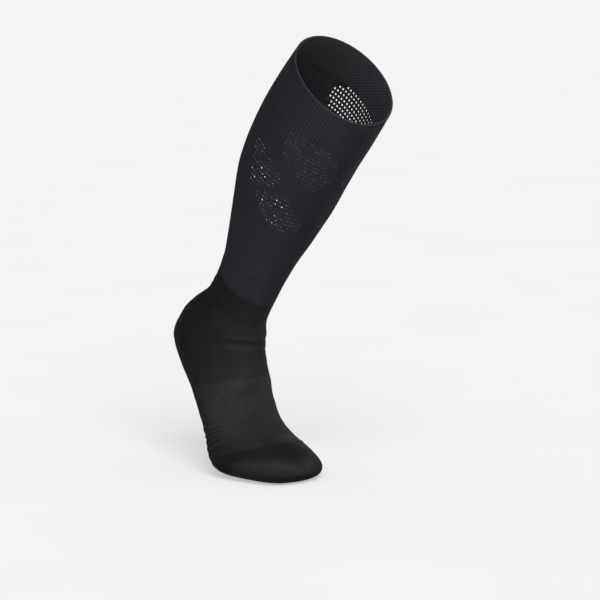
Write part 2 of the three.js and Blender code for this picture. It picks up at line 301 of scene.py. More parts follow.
# %% [markdown]
# ## Cloth as a grid of stitch cells
# Each piece starts as one layer of quads, one for each little cell of the knit, with rows across and
# columns down the stocking as on the machine. The same cells carry the numbers that later steps
# read: which wale and course they are (for the yarn), where a ridge rises, and how light they are.
# Knitted pieces run into each other without a step, so each stands back only a hair from the line
# where they meet.

# %% Rows, columns and notes
def evenly(first, last, spacing):
    """Stations that lie the same distance apart down the side of the cloth."""
    fine = np.linspace(first, last, 600)
    line = outside(np.full(600, pi / 2), fine)
    run = np.concatenate([[0], np.cumsum(np.linalg.norm(np.diff(line, axis=0), axis=1))])
    rows = max(round(run[-1] / spacing), 1)
    return np.interp(np.linspace(0, run[-1], rows + 1), run, fine)


def all_round(stations, columns):
    """The angle of each column in each row, evenly spread."""
    return np.repeat(np.arange(columns)[None] / columns * 2 * pi, len(stations), 0)


def note(mesh, label, domain, values):
    """Writes one number for each point or face of a mesh, under a name that nodes can read."""
    mesh.attributes.new(label, "FLOAT", domain).data.foreach_set("value", np.ravel(values).astype(float))


print("the side of the leg takes", len(evenly(1, 6.2, 4.7)) - 1, "rows of cells")

# %% Leave a hair between neighbours
SEAM_GAP = 0.06


def stand_back(stations, angles, cells):
    """Moves the points of a piece's edge half a seam gap away from its neighbours."""
    over, under = cells[:-1], cells[1:]
    over_left, under_left = np.roll(over, 1, 1), np.roll(under, 1, 1)
    down = np.sign(under + under_left - over - over_left)
    turn = np.sign(over + under - over_left - under_left)
    around, along = np.array(angles, float), np.repeat(stations[:, None], angles.shape[1], 1)
    pace_down = np.linalg.norm(down_cloth(around, along), axis=-1)
    pace_round = np.linalg.norm(round_cloth(around, along), axis=-1)
    gap = SEAM_GAP / 2
    return around + turn * gap / np.maximum(pace_round, 1), along + down * gap / np.maximum(pace_down, 1)


print("gap at a seam:", SEAM_GAP, "mm")

# %% Lay the cells of one piece
def lay_cloth(name, stations, angles, wales, course, held=None, tip=False):
    """One layer of cells: held says which are cloth, and tip closes the last row to a point."""
    stations = np.asarray(stations, float)
    rows, columns = len(stations) - 1, angles.shape[1]
    held = np.ones((rows, columns), int) if held is None else held.astype(int)
    end = held[-1:] if tip else np.zeros((1, columns), int)
    around, along = stand_back(stations, angles, np.vstack([np.zeros((1, columns), int), held, end]))
    index = np.arange((rows + 1) * columns).reshape(rows + 1, columns)
    if tip:
        index[-1] = index[-1, 0]
    row, column = np.nonzero(held)
    beyond = (column + 1) % columns
    corners = [index[row, column], index[row + 1, column], index[row + 1, beyond], index[row, beyond]]
    used, quads = np.unique(np.stack(corners, 1), return_inverse=True)
    faces = [tuple(dict.fromkeys(quad)) for quad in quads.reshape(-1, 4).tolist()]
    around, along = around.ravel()[used], along.ravel()[used]
    mesh = bpy.data.meshes.new(name)
    mesh.from_pydata(placed(outside(around, along)).tolist(), [], faces)

    side = outside(np.full(rows + 1, pi / 2), stations)
    run = np.concatenate([[0], np.cumsum(np.linalg.norm(np.diff(side, axis=0), axis=1))])
    downs, across = [], []
    for face, r, c in zip(faces, row, column):
        downs += [run[r], run[r + 1], run[r + 1], run[r]] if len(face) == 4 else [run[r], run[r + 1], run[r]]
        across += [c, c, c + 1, c + 1] if len(face) == 4 else [c, c + 0.5, c + 1]
    downs, across = np.array(downs), np.array(across) / columns
    mesh.uv_layers.new(name="UVMap").uv.foreach_set("vector", np.stack([across, downs / run[-1]], 1).ravel())
    knit = mesh.attributes.new("knit", "FLOAT_VECTOR", "CORNER")
    knit.data.foreach_set("vector", np.stack([across * wales, downs / course, 0 * downs], 1).ravel())
    passed, height = ridge_at(around, along)
    depth, dark = crease_at(around, along)
    note(mesh, "ridge_count", "POINT", passed)
    note(mesh, "ridge_height", "POINT", height / 1000)
    note(mesh, "crease", "POINT", depth / 1000)
    note(mesh, "crease_dark", "POINT", dark)
    # the tone: partly the yarn's own lightness, partly painted light and shade
    note(mesh, "tone", "POINT", tone_and_painted_light_at(around, along))
    print(f"{name}: {len(faces)} cells")
    return mesh


print("a piece holds wale, course, ridges, creases and tone")

# %% Rib a piece
FRONT_REACH, FRONT_FADE = 25, 35  # degrees from the shin that count as the front


def rib(mesh, first=0.0, last=0.0, front=1.0, strong=1.0):
    """Ribs a piece: they fade over the given shares of its height, and in front to a share."""
    share = np.ones(len(mesh.vertices))
    height = np.zeros(len(mesh.vertices))
    corner_uv = np.empty(len(mesh.loops) * 2)
    mesh.uv_layers["UVMap"].uv.foreach_get("vector", corner_uv)
    corner_point = np.empty(len(mesh.loops), int)
    mesh.loops.foreach_get("vertex_index", corner_point)
    height[corner_point] = corner_uv[1::2]
    turn = np.zeros(len(mesh.vertices))
    turn[corner_point] = np.minimum(corner_uv[::2], 1 - corner_uv[::2]) * 360
    if first:
        share = share * np.clip(height / first, 0, 1)
    if last:
        share = share * np.clip((1 - height) / last, 0, 1)
    share = share * (front + (1 - front) * np.clip((turn - FRONT_REACH) / FRONT_FADE, 0, 1))
    note(mesh, "rib_share", "POINT", share * strong)
    return mesh


print("pieces that aren't ribbed carry no rib share, which nodes read as none")

# %% [markdown]
# ## Nodes written as sums
# Both the Geometry Nodes and the shaders below hold a lot of small sums. One class wraps a node's
# output and gives it Python's own operators, so that a line of code reads as the sum that it is.
# One method adds every other node: its type, then its settings, then what goes into its sockets.

# %% Helpers for nodes
class Output:
    """One output of a node, with the operators of plain maths."""

    def __init__(self, graph, socket):
        self.graph, self.socket = graph, socket

    def also(self, name):
        return Output(self.graph, self.socket.node.outputs[name])

    def maths(self, operation, *values):
        return self.graph.node("ShaderNodeMath", {"operation": operation}, dict(enumerate(values)))

    def __add__(self, other):
        return self.maths("ADD", self, other)

    def __sub__(self, other):
        return self.maths("SUBTRACT", self, other)

    def __rsub__(self, other):
        return self.maths("SUBTRACT", other, self)

    def __mul__(self, other):
        return self.maths("MULTIPLY", self, other)

    __radd__, __rmul__ = __add__, __mul__

    def crest(self):
        """1 at whole numbers and 0 halfway between them."""
        return 0.5 + 0.5 * (self * (2 * pi)).maths("COSINE", self * (2 * pi))

    def triangle(self):
        """0 at whole numbers and 1 halfway between them."""
        return 1 - (2 * self.maths("FRACT", self) - 1).maths(
            "ABSOLUTE", 2 * self.maths("FRACT", self) - 1
        )


print("sums can use", sorted(name for name in vars(Output) if name.startswith("__r")))

# %% A tree and its one method
class Graph:
    """A node tree and the one method that adds a node to it."""

    def __init__(self, tree):
        self.tree = tree

    def node(self, kind, settings=None, sockets=None, output=0):
        """Adds a node: its type, its settings, and what goes into its sockets by name or place."""
        made = self.tree.nodes.new(kind)
        for name, value in (settings or {}).items():
            setattr(made, name, value)
        shown = [socket for socket in made.inputs if socket.enabled]
        for name, value in (sockets or {}).items():
            socket = shown[name] if isinstance(name, int) else next(s for s in shown if s.name == name)
            for one in value if isinstance(value, list) else [value]:
                if isinstance(one, Output):
                    self.tree.links.new(one.socket, socket)
                else:
                    socket.default_value = one
        outputs = [socket for socket in made.outputs if socket.enabled]
        if isinstance(output, str):
            return Output(self, next(s for s in outputs if s.name == output))
        return Output(self, outputs[output]) if outputs else made

    def scaled(self, vector, size):
        return self.node("ShaderNodeVectorMath", {"operation": "SCALE"}, {"Vector": vector, "Scale": size})

    def added(self, one, other):
        return self.node("ShaderNodeVectorMath", {"operation": "ADD"}, {0: one, 1: other})


print("a tree is built with", [name for name in vars(Graph) if not name.startswith("_")])

# %% From a tree to a finished piece
def recipe(name, inputs):
    """A new Geometry Nodes tree with named inputs."""
    tree = bpy.data.node_groups.new(name, "GeometryNodeTree")
    for label, kind, value in [("Geometry", "Geometry", None), *inputs]:
        socket = tree.interface.new_socket(label, in_out="INPUT", socket_type=f"NodeSocket{kind}")
        if value is not None:
            socket.default_value = value
    tree.interface.new_socket("Geometry", in_out="OUTPUT", socket_type="NodeSocketGeometry")
    graph = Graph(tree)
    entry = tree.nodes.new("NodeGroupInput")
    return graph, {socket.name: Output(graph, socket) for socket in entry.outputs if socket.name}


def make(name, source_data, graph, sizes):
    """Runs a tree on a mesh and keeps the result as one plain mesh, which rides the body."""
    source = bpy.data.objects.new(f"{name}_source", source_data)
    bpy.context.collection.objects.link(source)
    modifier = source.modifiers.new("knit", "NODES")
    modifier.node_group = graph.tree
    for socket in graph.tree.interface.items_tree:
        if socket.in_out == "INPUT" and socket.name in sizes:
            modifier[socket.identifier] = sizes[socket.name]
    depsgraph = bpy.context.evaluated_depsgraph_get()
    mesh = bpy.data.meshes.new_from_object(
        source.evaluated_get(depsgraph), preserve_all_data_layers=True, depsgraph=depsgraph
    )
    bpy.data.objects.remove(source)
    piece = bpy.data.objects.new(name, mesh)
    bpy.context.collection.objects.link(piece)
    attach(piece, "root")
    mesh.calc_loop_triangles()
    print(f"{name}: {len(mesh.loop_triangles)} triangles")
    return piece


# %% [markdown]
# ## From cells to knitted wall
# A net panel is knitted by leaving stitches out, so each hole sits in one cell between two ribs.
# In Geometry Nodes the cell's face is extruded by nothing, scaled down and deleted, and the
# subdivision that follows rounds the square hole into an eyelet. Boolean cuts would leave ragged
# slivers in thin cloth, and a see-through texture would have no thickness. The ribs and ridges are
# raised after the subdivision, so that it doesn't smooth them away, and the layer is then given
# its wall by extruding the inside up to the outside.

# %% The knitted wall as Geometry Nodes
knit_wall, size = recipe("knitted wall", [
    ("Wall", "Float", 0.0013), ("Rib height", "Float", 0.0005), ("Slack", "Float", 0.0008),
    ("Floor", "Float", solid_box[0][2]), ("Detail", "Int", 1), ("Seed", "Int", 7), ("Yarn", "Material", None),
])
g = knit_wall


def named(label, kind="FLOAT"):
    return g.node("GeometryNodeInputNamedAttribute", {"data_type": kind}, {"Name": label})


inset = g.node("GeometryNodeExtrudeMesh", {"mode": "FACES"}, {
    "Mesh": size["Geometry"], "Selection": named("eyelet").maths("GREATER_THAN", named("eyelet"), 0.5),
    "Offset Scale": 0.0, "Individual": True,
})
shrunk = g.node("GeometryNodeScaleElements", {"domain": "FACE"}, {
    "Geometry": inset, "Selection": inset.also("Top"), "Scale": named("opening"),
})
# each eyelet's veil gets a random strength, which sets how much painted light through the net it shows
chance = g.node("FunctionNodeRandomValue", {"data_type": "FLOAT"}, {"Seed": size["Seed"]})
uneven = 0.12 + 0.88 * chance.maths("POWER", chance, 2.5)
veiled = g.node("GeometryNodeStoreNamedAttribute", {"data_type": "FLOAT", "domain": "FACE"}, {
    "Geometry": shrunk, "Name": "veil", "Value": uneven * inset.also("Top"),
})
is_open = named("eyelet").maths("LESS_THAN", named("eyelet"), 1.5) * inset.also("Top")
opened = g.node("GeometryNodeDeleteGeometry", {"domain": "FACE"}, {
    "Geometry": veiled, "Selection": is_open.maths("GREATER_THAN", is_open, 0.5),
})
rounded = g.node("GeometryNodeSubdivisionSurface", {}, {"Mesh": opened, "Level": size["Detail"]})
wale = g.node("ShaderNodeSeparateXYZ", {}, {0: named("knit", "FLOAT_VECTOR")})
groove = named("ridge_count").crest()
slack = g.node("ShaderNodeTexNoise", {}, {
    "Vector": g.node("GeometryNodeInputPosition"), "Scale": 45.0, "Detail": 1.0,
})
raised = (
    wale.crest() * size["Rib height"] * named("rib_share")
    + (1 - groove.maths("POWER", groove, 2.0)) * named("ridge_height")
    - named("crease")
    - named("veil") * 0.0003
    + (slack - 0.5) * size["Slack"]
)
normal = g.node("GeometryNodeInputNormal")
lifted = g.node("ShaderNodeSeparateXYZ", {}, {
    0: g.added(g.node("GeometryNodeInputPosition"), g.scaled(normal, raised)),
})
height = lifted.also("Z")
raised_place = g.node("ShaderNodeCombineXYZ", {}, {
    "X": lifted, "Y": lifted.also("Y"), "Z": height.maths("MAXIMUM", height, size["Floor"]),
})
marked = g.node("GeometryNodeStoreNamedAttribute", {"data_type": "FLOAT_VECTOR", "domain": "POINT"}, {
    "Geometry": rounded, "Name": "raised_place", "Value": raised_place,
})
inner = g.node("GeometryNodeSetPosition", {}, {
    "Geometry": marked, "Offset": g.scaled(normal, (named("thinned") - 1) * size["Wall"]),
})
thick = g.node("GeometryNodeExtrudeMesh", {"mode": "FACES"}, {
    "Mesh": inner, "Offset Scale": 0.0, "Individual": False,
})
crisp = g.node("GeometryNodeSetShadeSmooth", {}, {
    "Geometry": thick, "Selection": thick.also("Side"), "Shade Smooth": False,
})
outer = g.node("GeometryNodeSetPosition", {}, {
    "Geometry": crisp, "Selection": thick.also("Top"),
    "Position": named("raised_place", "FLOAT_VECTOR"),
})
lining = g.node("GeometryNodeStoreNamedAttribute", {"data_type": "FLOAT", "domain": "FACE"}, {
    "Geometry": g.node("GeometryNodeFlipFaces", {}, {"Mesh": inner}), "Name": "inside", "Value": 1.0,
})
joined = g.node("GeometryNodeJoinGeometry", {}, {"Geometry": [outer, lining]})
closed = g.node("GeometryNodeMergeByDistance", {}, {"Geometry": joined, "Distance": 1e-6})
bare = g.node("GeometryNodeRemoveAttribute", {}, {"Geometry": closed, "Name": "raised_place"})
whole = g.node("GeometryNodeRealizeInstances", {}, {"Geometry": bare})
finished = g.node("GeometryNodeSetMaterial", {}, {"Geometry": whole, "Material": size["Yarn"]})
g.node("NodeGroupOutput", {}, {"Geometry": finished})
print("knitted wall:", len(g.tree.nodes), "nodes")

# %% [markdown]
# ## The yarns
# The leg is knitted of a matt bluish charcoal yarn and the foot of a near black one. Both are nylon
# over elastane: hardly any shine, a faint halo of fibre where the cloth turns away, and rows of tiny
# V shaped loops. An image could show the loops, but a pattern counted in wales and courses follows
# the cloth wherever it bends. The loops go into a Bump node, and the colour drifts a little at random.
# Shade and light are painted into the colour too: rib and ridge grooves and creases darker, rib crests
# and standing folds lighter, and the tone of each piece carries painted light and shade as well as
# its own lightness. The veils and the lining are painted pale, as light showing through the net.
# Numbers that a piece doesn't carry read as none, so one material serves ribbed, checked and plain cloth.

# %% A knitted yarn as a material
# both colours are painted light: the veil stands for light showing through a closed eyelet, the lining for
# light inside the tube, which lies in shade
VEIL_PAINTED_LIGHT, LINING_PAINTED_LIGHT = (0.085, 0.088, 0.094), (0.085, 0.087, 0.096, 1)


def yarn(name, dark, light, roughness, needles, rows, loop_depth):
    """Loops, so many needles to a wale and rows to a course, with ribs, ridges, creases and veils."""
    material = bpy.data.materials.new(name)
    material.use_nodes = True
    material.node_tree.nodes.clear()
    m = Graph(material.node_tree)

    def carried(label, output="Fac"):
        return m.node("ShaderNodeAttribute", {"attribute_name": label}, output=output)

    wale = m.node("ShaderNodeSeparateXYZ", {}, {0: carried("knit", "Vector")})
    course = wale.also("Y")
    needle = wale * needles
    relief = 0.6 * (course * rows + 0.4 * needle.triangle()).crest() + 0.4 * needle.triangle()
    lattice = (wale.crest() - 0.5) * ((course * 1.2).crest() - 0.5)
    spot = m.node("ShaderNodeTexCoord", output="Object")
    drift = m.node("ShaderNodeTexNoise", {}, {"Vector": spot, "Scale": 60.0, "Detail": 3.0})
    fibre = m.node("ShaderNodeTexNoise", {}, {"Vector": spot, "Scale": 1400.0, "Detail": 2.0})
    # painted shade: the grooves between the padding ridges are coloured darker
    groove = carried("ridge_count").crest()
    groove = groove.maths("POWER", groove, 2.0) * carried("ridge_height") * 1000
    # painted shade and light: rib grooves coloured darker and rib crests lighter
    rib_painted_light_and_shade = (wale.crest() - 0.5) * carried("rib_share")
    shade = 0.45 + 0.3 * rib_painted_light_and_shade + 0.12 * relief + 0.3 * (drift - 0.5) + 0.3 * (fibre - 0.5)
    # painted shade in the creases and painted light on folds that stand up; the lattice is the checked rib
    shade = shade - 0.35 * groove - carried("crease_dark") + 3.0 * lattice * carried("check")
    knitted = m.node("ShaderNodeMix", {"data_type": "RGBA", "clamp_factor": True}, {
        "Factor": shade, "A": (*dark, 1), "B": (*light, 1),
    })
    # painted light: a veiled eyelet is coloured pale, as light showing through the net
    veiled = m.node("ShaderNodeMix", {"data_type": "RGBA"}, {
        # the tone scales the colour: partly the yarn's own lightness, partly painted light and shade
        "Factor": carried("veil"), "A": m.scaled(knitted, carried("tone")),
        "B": m.scaled(VEIL_PAINTED_LIGHT, carried("pale")),
    })
    # painted light: the inside of the tube, which lies in shade, is coloured pale so it reads lit through the
    # eyelets and at the mouth
    colour = m.node("ShaderNodeMix", {"data_type": "RGBA"}, {
        "Factor": carried("inside") * (0.45 + 1.6 * lattice), "A": veiled, "B": LINING_PAINTED_LIGHT,
    })
    bump = m.node("ShaderNodeBump", {}, {
        "Height": relief + 0.35 * fibre + 2 * lattice * carried("check"), "Distance": loop_depth,
        "Strength": 0.8,
    })
    cloth = m.node("ShaderNodeBsdfPrincipled", {}, {
        "Base Color": colour, "Roughness": roughness, "Normal": bump,
        "Specular IOR Level": 0.04, "Sheen Weight": 0.01, "Sheen Roughness": 0.4,
        "Sheen Tint": (0.8, 0.85, 1, 1),
    })
    m.node("ShaderNodeOutputMaterial", {}, {"Surface": cloth})
    print(name, "has", len(material.node_tree.nodes), "nodes")
    return material


leg_yarn = yarn("charcoal leg yarn", (0.0045, 0.005, 0.0065), (0.0285, 0.03, 0.037), 0.85, 4, 5, 0.00018)
foot_yarn = yarn("black foot yarn", (0.004, 0.004, 0.0045), (0.027, 0.027, 0.0292), 0.8, 2, 1, 0.00016)

# %% [markdown]
# ## The cuff
# The cuff is a doubled, ribbed band 40 mm tall that grips the top of the calf. Its ribs could be a
# bump in the material, but they are seen edge on at the rim, so they are raised, and the cells are
# finer here than in the leg.

# %% Knit the cuff
LEG_WALES = 96


def knit(name, mesh, wall, ribs, yarn_used, slot, flat, area):
    """Makes a piece of cloth in place of its solid, with its wall and ribs in millimetres."""
    piece = make(f"{name}_cloth", mesh, knit_wall, {
        "Wall": wall / 1000, "Rib height": ribs / 1000, "Yarn": yarn_used,
    })
    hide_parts(name)


rows = evenly(0, 1, 2.2)
knit(
    "cuff", rib(lay_cloth("cuff", rows, all_round(rows, 2 * LEG_WALES), LEG_WALES, 4.7)),
    1.8, 0.32, leg_yarn, "leg_knit", (0.345, 0.041), 0.0138,
)

# %% [markdown]
# ## The leg and its net panels
# Below the cuff the ribs go on down to the ankle, closer as the leg narrows. Net panels let the
# calf breathe: under the cuff in front, on either side of the calf, high on the inner side and low
# behind. Each is a field of eyelets, one to a wale, and the cloth around them is thinner. The
# fields could be painted on an image, but they are drawn as outlines on the unrolled cloth: a cell
# whose middle lies inside one gets an eyelet, left open or veiled by a thin yarn whose pale colour
# is painted light, as if light showed through the net. Lower down the cloth closes into a checked rib.

# %% Draw the net panels
COURSE = 4.66
OPEN, VEILED = 1, 2
THINNER = 0.65  # the share of the wall that a net does without
# each panel: the share of its cells that are open, the rest being veiled by a thin yarn, how much of
# a cell the hole takes, how pale the veil is painted, as light showing through the net, and the
# outline on the unrolled cloth, in degrees around from the shin and stations down the leg
NETS = [
    (0, 0.62, 1, [(-73, 1.22), (-66, 1.03), (-27, 1.03), (-15, 1.2), (-1, 1.88), (-21, 2.34),
                  (-30, 2.32), (-45, 2.1), (-63, 1.94), (-70, 1.5)]),
    (0, 0.62, 1, [(3, 1.88), (15, 1.2), (27, 1.03), (52, 1.03), (56, 1.6), (50, 2.1), (30, 2.32),
                  (21, 2.34)]),
    (0.14, 0.5, 2, [(-98, 2.0), (-82, 2.14), (-64, 2.26), (-55, 2.44), (-62, 2.7), (-87, 3.06),
                    (-95, 2.6), (-105, 2.14)]),
    (0.14, 0.5, 2, [(-76, 3.04), (-60, 2.84), (-43, 2.64), (-37, 2.88), (-24, 3.16), (-8, 3.46),
                    (-40, 3.74), (-56, 3.54), (-70, 3.3)]),
    (0.14, 0.5, 2, [(76, 3.1), (43, 2.66), (37, 2.88), (24, 3.16), (8, 3.46), (40, 3.74),
                    (56, 3.54), (70, 3.3)]),
    (1, 0.54, 1, [(64, 1.02), (120, 1.02), (132, 1.3), (128, 1.75), (108, 2.2), (90, 2.2),
                  (68, 1.6)]),
    (1, 0.8, 1, [(196, 2.7), (206, 3.3), (204, 4.0), (190, 4.45), (165, 4.9), (130, 5.15),
                 (100, 4.8), (80, 4.4), (84, 3.95), (110, 3.7), (132, 3.3), (150, 2.8), (172, 2.6)]),
]


def inside_outline(x, y, outline):
    """Which of the points lie inside a closed outline."""
    found = np.zeros(np.shape(x), bool)
    for (x0, y0), (x1, y1) in zip(outline, outline[1:] + outline[:1]):
        if y0 != y1:
            crosses = (y0 > y) != (y1 > y)
            found ^= crosses & (x < (x1 - x0) * (y - y0) / (y1 - y0) + x0)
    return found


rows = evenly(1, 6.2, COURSE)
middle = (rows[1:] + rows[:-1])[:, None] / 2 + np.zeros(LEG_WALES)
turn = (np.arange(LEG_WALES) + 0.5)[None] * 360 / LEG_WALES + 0 * middle
eyelets, openings, pale = np.zeros(middle.shape), np.zeros(middle.shape), np.zeros(middle.shape)
chance = np.random.default_rng(11).random(middle.shape)
for open_share, opening, painted_light_through_net, outline in NETS:
    for whole_turn in (-360, 0):
        within = inside_outline(turn + whole_turn, middle, outline)
        eyelets[within] = np.where(chance < open_share, OPEN, VEILED)[within]
        openings[within], pale[within] = opening, painted_light_through_net
print(f"{int((eyelets == OPEN).sum())} open eyelets and {int((eyelets == VEILED).sum())} veiled ones")

# %% Knit the leg
# the rib is checked from this station down, less in front and behind, and not in a net
CHECKED_FROM, CHECKED_OVER = 3.9, 0.6
FRONT_EDGE, FRONT_OVER, BACK_EDGE, BACK_OVER = 12, 20, 75, 30  # degrees from the shin
side = from_shin(np.radians(turn))
below_nets = np.clip((middle - CHECKED_FROM) / CHECKED_OVER, 0, 1)
beside_shin = np.clip((side - FRONT_EDGE) / FRONT_OVER, 0, 1)
behind = np.clip((side - BACK_EDGE) / BACK_OVER, 0, 1)
checks = (0.08 + 0.92 * below_nets * beside_shin) * (1 - 0.6 * behind) * (eyelets == 0)
cells = np.pad((eyelets > 0).astype(float), ((1, 1), (0, 0)))
cells = np.maximum(cells, np.roll(cells, 1, 1))
layer = rib(lay_cloth("leg", rows, all_round(rows, LEG_WALES), LEG_WALES, COURSE), last=0.03)
note(layer, "eyelet", "FACE", eyelets)
note(layer, "opening", "FACE", openings)
# how pale each veil is painted, as light showing through the net
note(layer, "pale", "FACE", pale)
note(layer, "check", "FACE", checks)
note(layer, "thinned", "POINT", THINNER * np.maximum(cells[:-1], cells[1:]))
knit("leg", layer, 1.3, 0.32, leg_yarn, "leg_knit", (0.345, 0.222), 0.0628)

# %% [markdown]
# ## The foot
# The foot is knitted as one run of rings that fan about the heel. The heel pocket could be cut out
# of it, but on the machine it is worked by itself and joined. So the columns part at the pocket's
# edge, and the pocket and the instep each end on a clean line with no cut stitches.

# %% Columns that part at the heel pocket
FOOT_COLUMNS, HEEL_COLUMN = 112, 24
HEEL_SIDES = [(7.5, 130), (8, 122), (8.6, 102), (9.25, 83), (10.2, 80), (11.2, 92)]


def beside_heel(stations):
    """The angle of each column, with the same column always at the heel pocket's edge."""
    side = np.radians(np.interp(stations, *zip(*HEEL_SIDES)))[:, None]
    number = np.arange(FOOT_COLUMNS)[None]
    from_front = np.minimum(number, FOOT_COLUMNS - number)
    before_side = from_front / HEEL_COLUMN * side
    past = (from_front - HEEL_COLUMN) / (FOOT_COLUMNS / 2 - HEEL_COLUMN)
    angle = np.where(from_front <= HEEL_COLUMN, before_side, side + (pi - side) * past)
    return np.where(number <= FOOT_COLUMNS / 2, angle, 2 * pi - angle)


print("the heel pocket takes", FOOT_COLUMNS - 2 * HEEL_COLUMN, "of", FOOT_COLUMNS, "columns")

# %% Knit the instep and the heel
FOOT_WALES, FOOT_COURSE = 160, 1.5
heel_rows = np.concatenate([evenly(7.5, 8, 3)[:-1], np.linspace(8, 10.4, 31)[:-1], evenly(10.4, 11.2, 3)])
top_rows = np.concatenate([evenly(6.2, 6.5, 3)[:-1], np.linspace(6.5, 7.5, 21)[:-1]])
instep_rows = np.concatenate([top_rows, heel_rows, evenly(11.2, 11.95, 3)[1:]])
number = np.arange(FOOT_COLUMNS)
in_heel_columns = (number >= HEEL_COLUMN) & (number < FOOT_COLUMNS - HEEL_COLUMN)
row = np.arange(len(instep_rows) - 1)
in_heel_rows = (row >= len(top_rows)) & (row < len(top_rows) + len(heel_rows) - 1)
pocket = in_heel_rows[:, None] & in_heel_columns[None]
knit(
    "instep", lay_cloth("instep", instep_rows, beside_heel(instep_rows), FOOT_WALES, FOOT_COURSE,
                        held=~pocket),
    1.5, 0, foot_yarn, "foot_knit", (0.29, 0.17), 0.0201,
)
knit(
    "heel", lay_cloth("heel", heel_rows, beside_heel(heel_rows), FOOT_WALES, FOOT_COURSE,
                      held=np.repeat(in_heel_columns[None], len(heel_rows) - 1, 0)),
    2, 0, foot_yarn, "foot_knit", (0.18, 0.11), 0.01165,
)

# %% [markdown]
# ## The arch band
# A band of stronger elastic rib hugs the arch. A stripe texture would do from afar, but its ribs are
# raised like the cuff's and fade out at its edges and over the instep, where they are stretched flat.

# %% Knit the arch band
ARCH_WALES = 82
rows = evenly(11.95, 13.35, 2.4)
layer = lay_cloth("arch_band", rows, all_round(rows, 2 * ARCH_WALES), ARCH_WALES, 4.7)
knit(
    "arch_band", rib(layer, first=0.18, last=0.15, front=0.4, strong=1.5),
    1.5, 0.25, foot_yarn, "foot_knit", (0.255, 0.042), 0.009,
)

# %% [markdown]
# ## The forefoot and the toe
# Under the ball six ridges cross the sole, where the cloth bends at each step. They could be six
# swept cords, but they are part of the knit, so the cloth itself rises, on rows laid close enough
# to carry them. The toe is a thicker terry cap that closes to a point in front.

# %% Knit the forefoot and the toe
ridge_rows = np.linspace(13.53, 16.23, 43)[:-1]
rows = np.concatenate([evenly(13.35, 13.53, 2)[:-1], ridge_rows, evenly(16.23, 17.2, 2.5)])
knit(
    "forefoot", lay_cloth("forefoot", rows, all_round(rows, FOOT_COLUMNS), FOOT_WALES, FOOT_COURSE),
    1.5, 0, foot_yarn, "foot_knit", (0.26, 0.075), 0.0175,
)
rows = evenly(17.2, TIP, 2.5)
layer = lay_cloth("toe", rows, all_round(rows, FOOT_COLUMNS), FOOT_COLUMNS, FOOT_COURSE, tip=True)
knit("toe", rib(layer, first=0.5), 2, 0, foot_yarn, "foot_knit", (0.23, 0.075), 0.0084)

# %% [markdown]
# ## Seams, gores and the rolled edge
# A machine-knitted stocking has few seams, and each shows as a fine cord with stitches over it: the
# linking that closes the toe, the gores where the heel pocket was turned, and the rolled edge of the
# cuff. A curve with a bevel could be the cord, but the stitches would then be placed by hand. Here
# one tree makes both: Curve to Mesh sweeps the cord along a path on the cloth, and Instance on
# Points lays a small grain of thread at each step, turned to the path and stood off the cloth.

# %% A sewn line as Geometry Nodes
sewn_line, size = recipe("sewn line", [
    ("Cord radius", "Float", 0.0004), ("Step", "Float", 0.002), ("Stitch along", "Float", 0.0008),
    ("Stitch across", "Float", 0.0012), ("Stitch height", "Float", 0.0004), ("Yarn", "Material", None),
])
g = sewn_line
path = g.node("GeometryNodeMeshToCurve", {}, {"Mesh": size["Geometry"]})
cord = g.node("GeometryNodeCurveToMesh", {}, {
    "Curve": path, "Fill Caps": True,
    "Profile Curve": g.node("GeometryNodeCurvePrimitiveCircle", {}, {
        "Resolution": 6, "Radius": size["Cord radius"],
    }),
})
stops = g.node("GeometryNodeResampleCurve", {"mode": "LENGTH"}, {"Curve": path, "Length": size["Step"]})
along_path = g.node("FunctionNodeAlignRotationToVector", {"axis": "X"}, {
    "Vector": g.node("GeometryNodeInputTangent"),
})
turned = g.node("FunctionNodeAlignRotationToVector", {"axis": "Z", "pivot_axis": "X"}, {
    "Rotation": along_path, "Vector": named("stand", "FLOAT_VECTOR"),
})
grain = g.node("GeometryNodeMeshUVSphere", {}, {"Segments": 6, "Rings": 4, "Radius": 1.0})
stitches = g.node("GeometryNodeInstanceOnPoints", {}, {
    "Points": stops, "Instance": grain, "Rotation": turned,
    "Scale": g.node("ShaderNodeCombineXYZ", {}, {
        "X": size["Stitch along"], "Y": size["Stitch across"], "Z": size["Stitch height"],
    }),
})
sewn = g.node("GeometryNodeJoinGeometry", {}, {"Geometry": [cord, stitches]})
whole = g.node("GeometryNodeRealizeInstances", {}, {"Geometry": sewn})
smooth = g.node("GeometryNodeSetShadeSmooth", {}, {"Geometry": whole, "Shade Smooth": True})
finished = g.node("GeometryNodeSetMaterial", {}, {"Geometry": smooth, "Material": size["Yarn"]})
g.node("NodeGroupOutput", {}, {"Geometry": finished})
print("sewn line:", len(g.tree.nodes), "nodes")

# %% Sewing threads
def thread(name, colour, lighter):
    """A twisted sewing thread: its colour drifts and its twist is a fine bump."""
    material = bpy.data.materials.new(name)
    material.use_nodes = True
    material.node_tree.nodes.clear()
    m = Graph(material.node_tree)
    spot = m.node("ShaderNodeTexCoord", output="Object")
    drift = m.node("ShaderNodeTexNoise", {}, {"Vector": spot, "Scale": 700.0, "Detail": 2.0})
    twist = m.node("ShaderNodeTexWave", {"wave_type": "BANDS", "bands_direction": "DIAGONAL"}, {
        "Vector": spot, "Scale": 900.0, "Distortion": 2.0,
    }, output="Fac")
    m.node("ShaderNodeOutputMaterial", {}, {"Surface": m.node("ShaderNodeBsdfPrincipled", {}, {
        "Base Color": m.node("ShaderNodeMix", {"data_type": "RGBA"}, {
            "Factor": 0.6 * drift + 0.4 * twist, "A": (*colour, 1), "B": (*lighter, 1),
        }),
        "Roughness": 0.75, "Specular IOR Level": 0.15,
        "Normal": m.node("ShaderNodeBump", {}, {"Height": twist, "Distance": 0.0001, "Strength": 0.5}),
    })})
    return material


